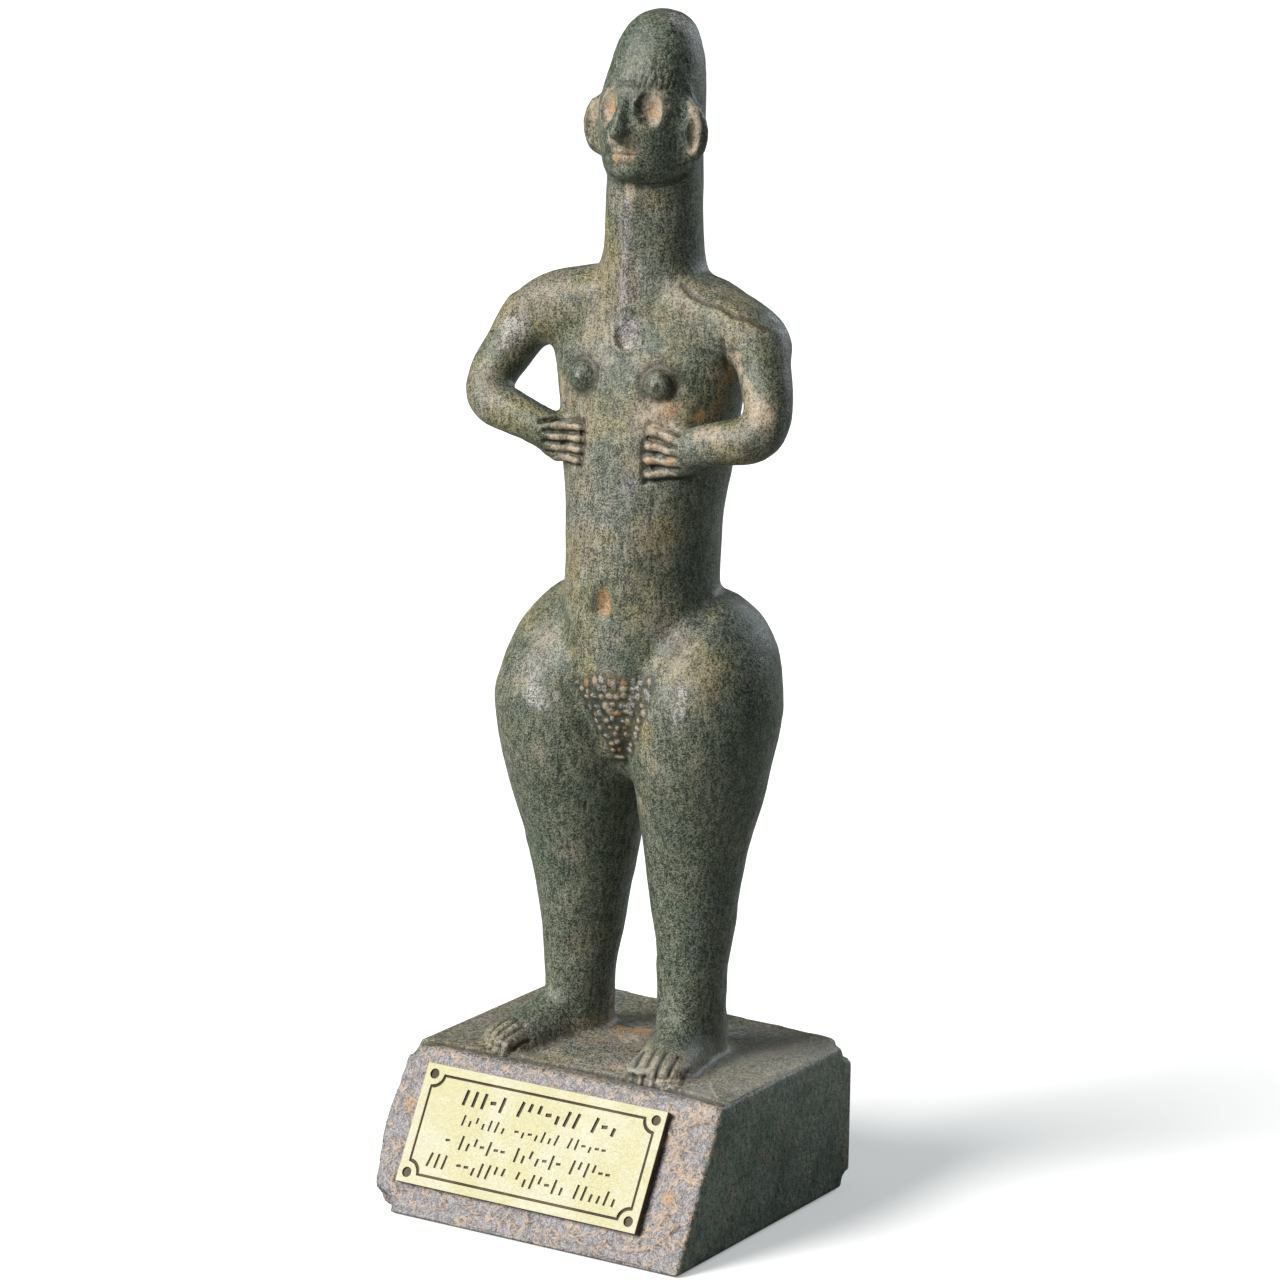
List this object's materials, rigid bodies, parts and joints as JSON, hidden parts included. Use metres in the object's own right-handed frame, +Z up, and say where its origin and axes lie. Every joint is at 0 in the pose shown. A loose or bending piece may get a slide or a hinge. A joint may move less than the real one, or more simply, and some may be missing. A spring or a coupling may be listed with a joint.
{
  "type": "standing figurine on a block",
  "caption": "Standing male idol figurine, hands on its ribs, cast in one with a block that has a sloping front and a glued name plate; decorates a shelf or desk.",
  "frame": {"origin": "middle of the block's underside: halfway across its foot and halfway from the foot of its sloping front to the middle of its back edge", "axes": "+Z up through the head, the figure looks along -Y, +X towards its left hand"},
  "size_m": [0.106, 0.1025, 0.3385],
  "materials": {
    "patinated_cast": "satin, green-brown bronze patina with cream and orange dirt in the hollows",
    "plate": "satin pale gold, dark brown where it is engraved and at its edges"
  },
  "bodies": {
    "root": {"statue": "patinated_cast", "plaque": "plate"}
  },
  "joints": []
}
